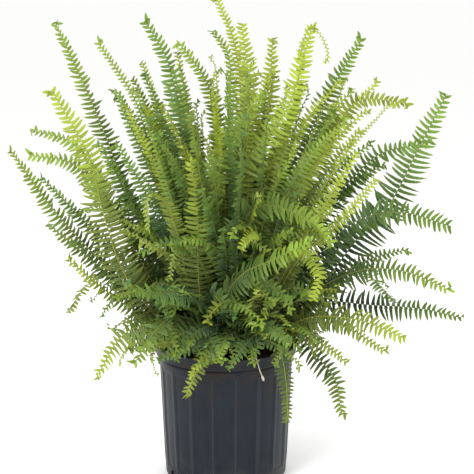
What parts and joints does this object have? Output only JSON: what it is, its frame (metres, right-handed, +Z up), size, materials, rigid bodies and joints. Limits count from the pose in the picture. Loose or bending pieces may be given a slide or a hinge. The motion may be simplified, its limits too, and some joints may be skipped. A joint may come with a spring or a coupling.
{
  "type": "potted fern",
  "caption": "Live sword fern in a fluted black plastic nursery pot: long toothed fronds rise and arch out all round from a crown in bark potting mix.",
  "frame": {"origin": "centre of the pot's flat base, on the surface it stands on", "axes": "+Z up; -Y is the front, the side the plant is shown from; +X to the right of someone facing the front"},
  "size_m": [0.85, 0.65, 0.92],
  "materials": {
    "black_pot_plastic": "moulded polyethylene, half gloss",
    "bark_potting_mix": "loose moist bark and peat",
    "crown_fibre": "scaly, fibrous",
    "runner_skin": "thin pale skin",
    "leaf_young": "fresh soft leaf",
    "leaf_mature": "waxy leaf",
    "leaf_deep": "waxy leaf, old"
  },
  "bodies": {
    "root": {"pot": "black_pot_plastic", "potting_mix": "bark_potting_mix", "crown": "crown_fibre", "runner": "runner_skin", "frond_01": "leaf_young", "frond_02": "leaf_mature", "frond_03": "leaf_young", "frond_04": "leaf_young", "frond_05": "leaf_deep", "frond_06": "leaf_mature", "frond_07": "leaf_young", "frond_08": "leaf_mature", "frond_09": "leaf_mature", "frond_10": "leaf_young", "frond_11": "leaf_deep", "frond_12": "leaf_young", "frond_13": "leaf_mature", "frond_14": "leaf_mature", "frond_15": "leaf_mature", "frond_16": "leaf_deep", "frond_17": "leaf_mature", "frond_18": "leaf_young", "frond_19": "leaf_young", "frond_20": "leaf_deep", "frond_21": "leaf_deep", "frond_22": "leaf_young", "frond_23": "leaf_deep", "frond_24": "leaf_deep", "frond_25": "leaf_young", "frond_26": "leaf_deep", "frond_27": "leaf_mature", "frond_28": "leaf_deep", "frond_29": "leaf_young", "frond_30": "leaf_young", "frond_31": "leaf_young", "frond_32": "leaf_mature", "frond_33": "leaf_mature", "frond_34": "leaf_young", "frond_35": "leaf_young", "frond_36": "leaf_mature", "frond_37": "leaf_mature", "frond_38": "leaf_young", "frond_39": "leaf_deep", "frond_40": "leaf_mature", "frond_41": "leaf_deep", "frond_42": "leaf_mature", "frond_43": "leaf_young", "frond_44": "leaf_mature", "frond_45": "leaf_young", "frond_46": "leaf_deep", "frond_47": "leaf_mature", "frond_48": "leaf_deep", "frond_49": "leaf_mature", "frond_50": "leaf_young", "frond_51": "leaf_mature", "frond_52": "leaf_mature", "frond_53": "leaf_mature", "frond_54": "leaf_young", "frond_55": "leaf_young"}
  },
  "joints": []
}
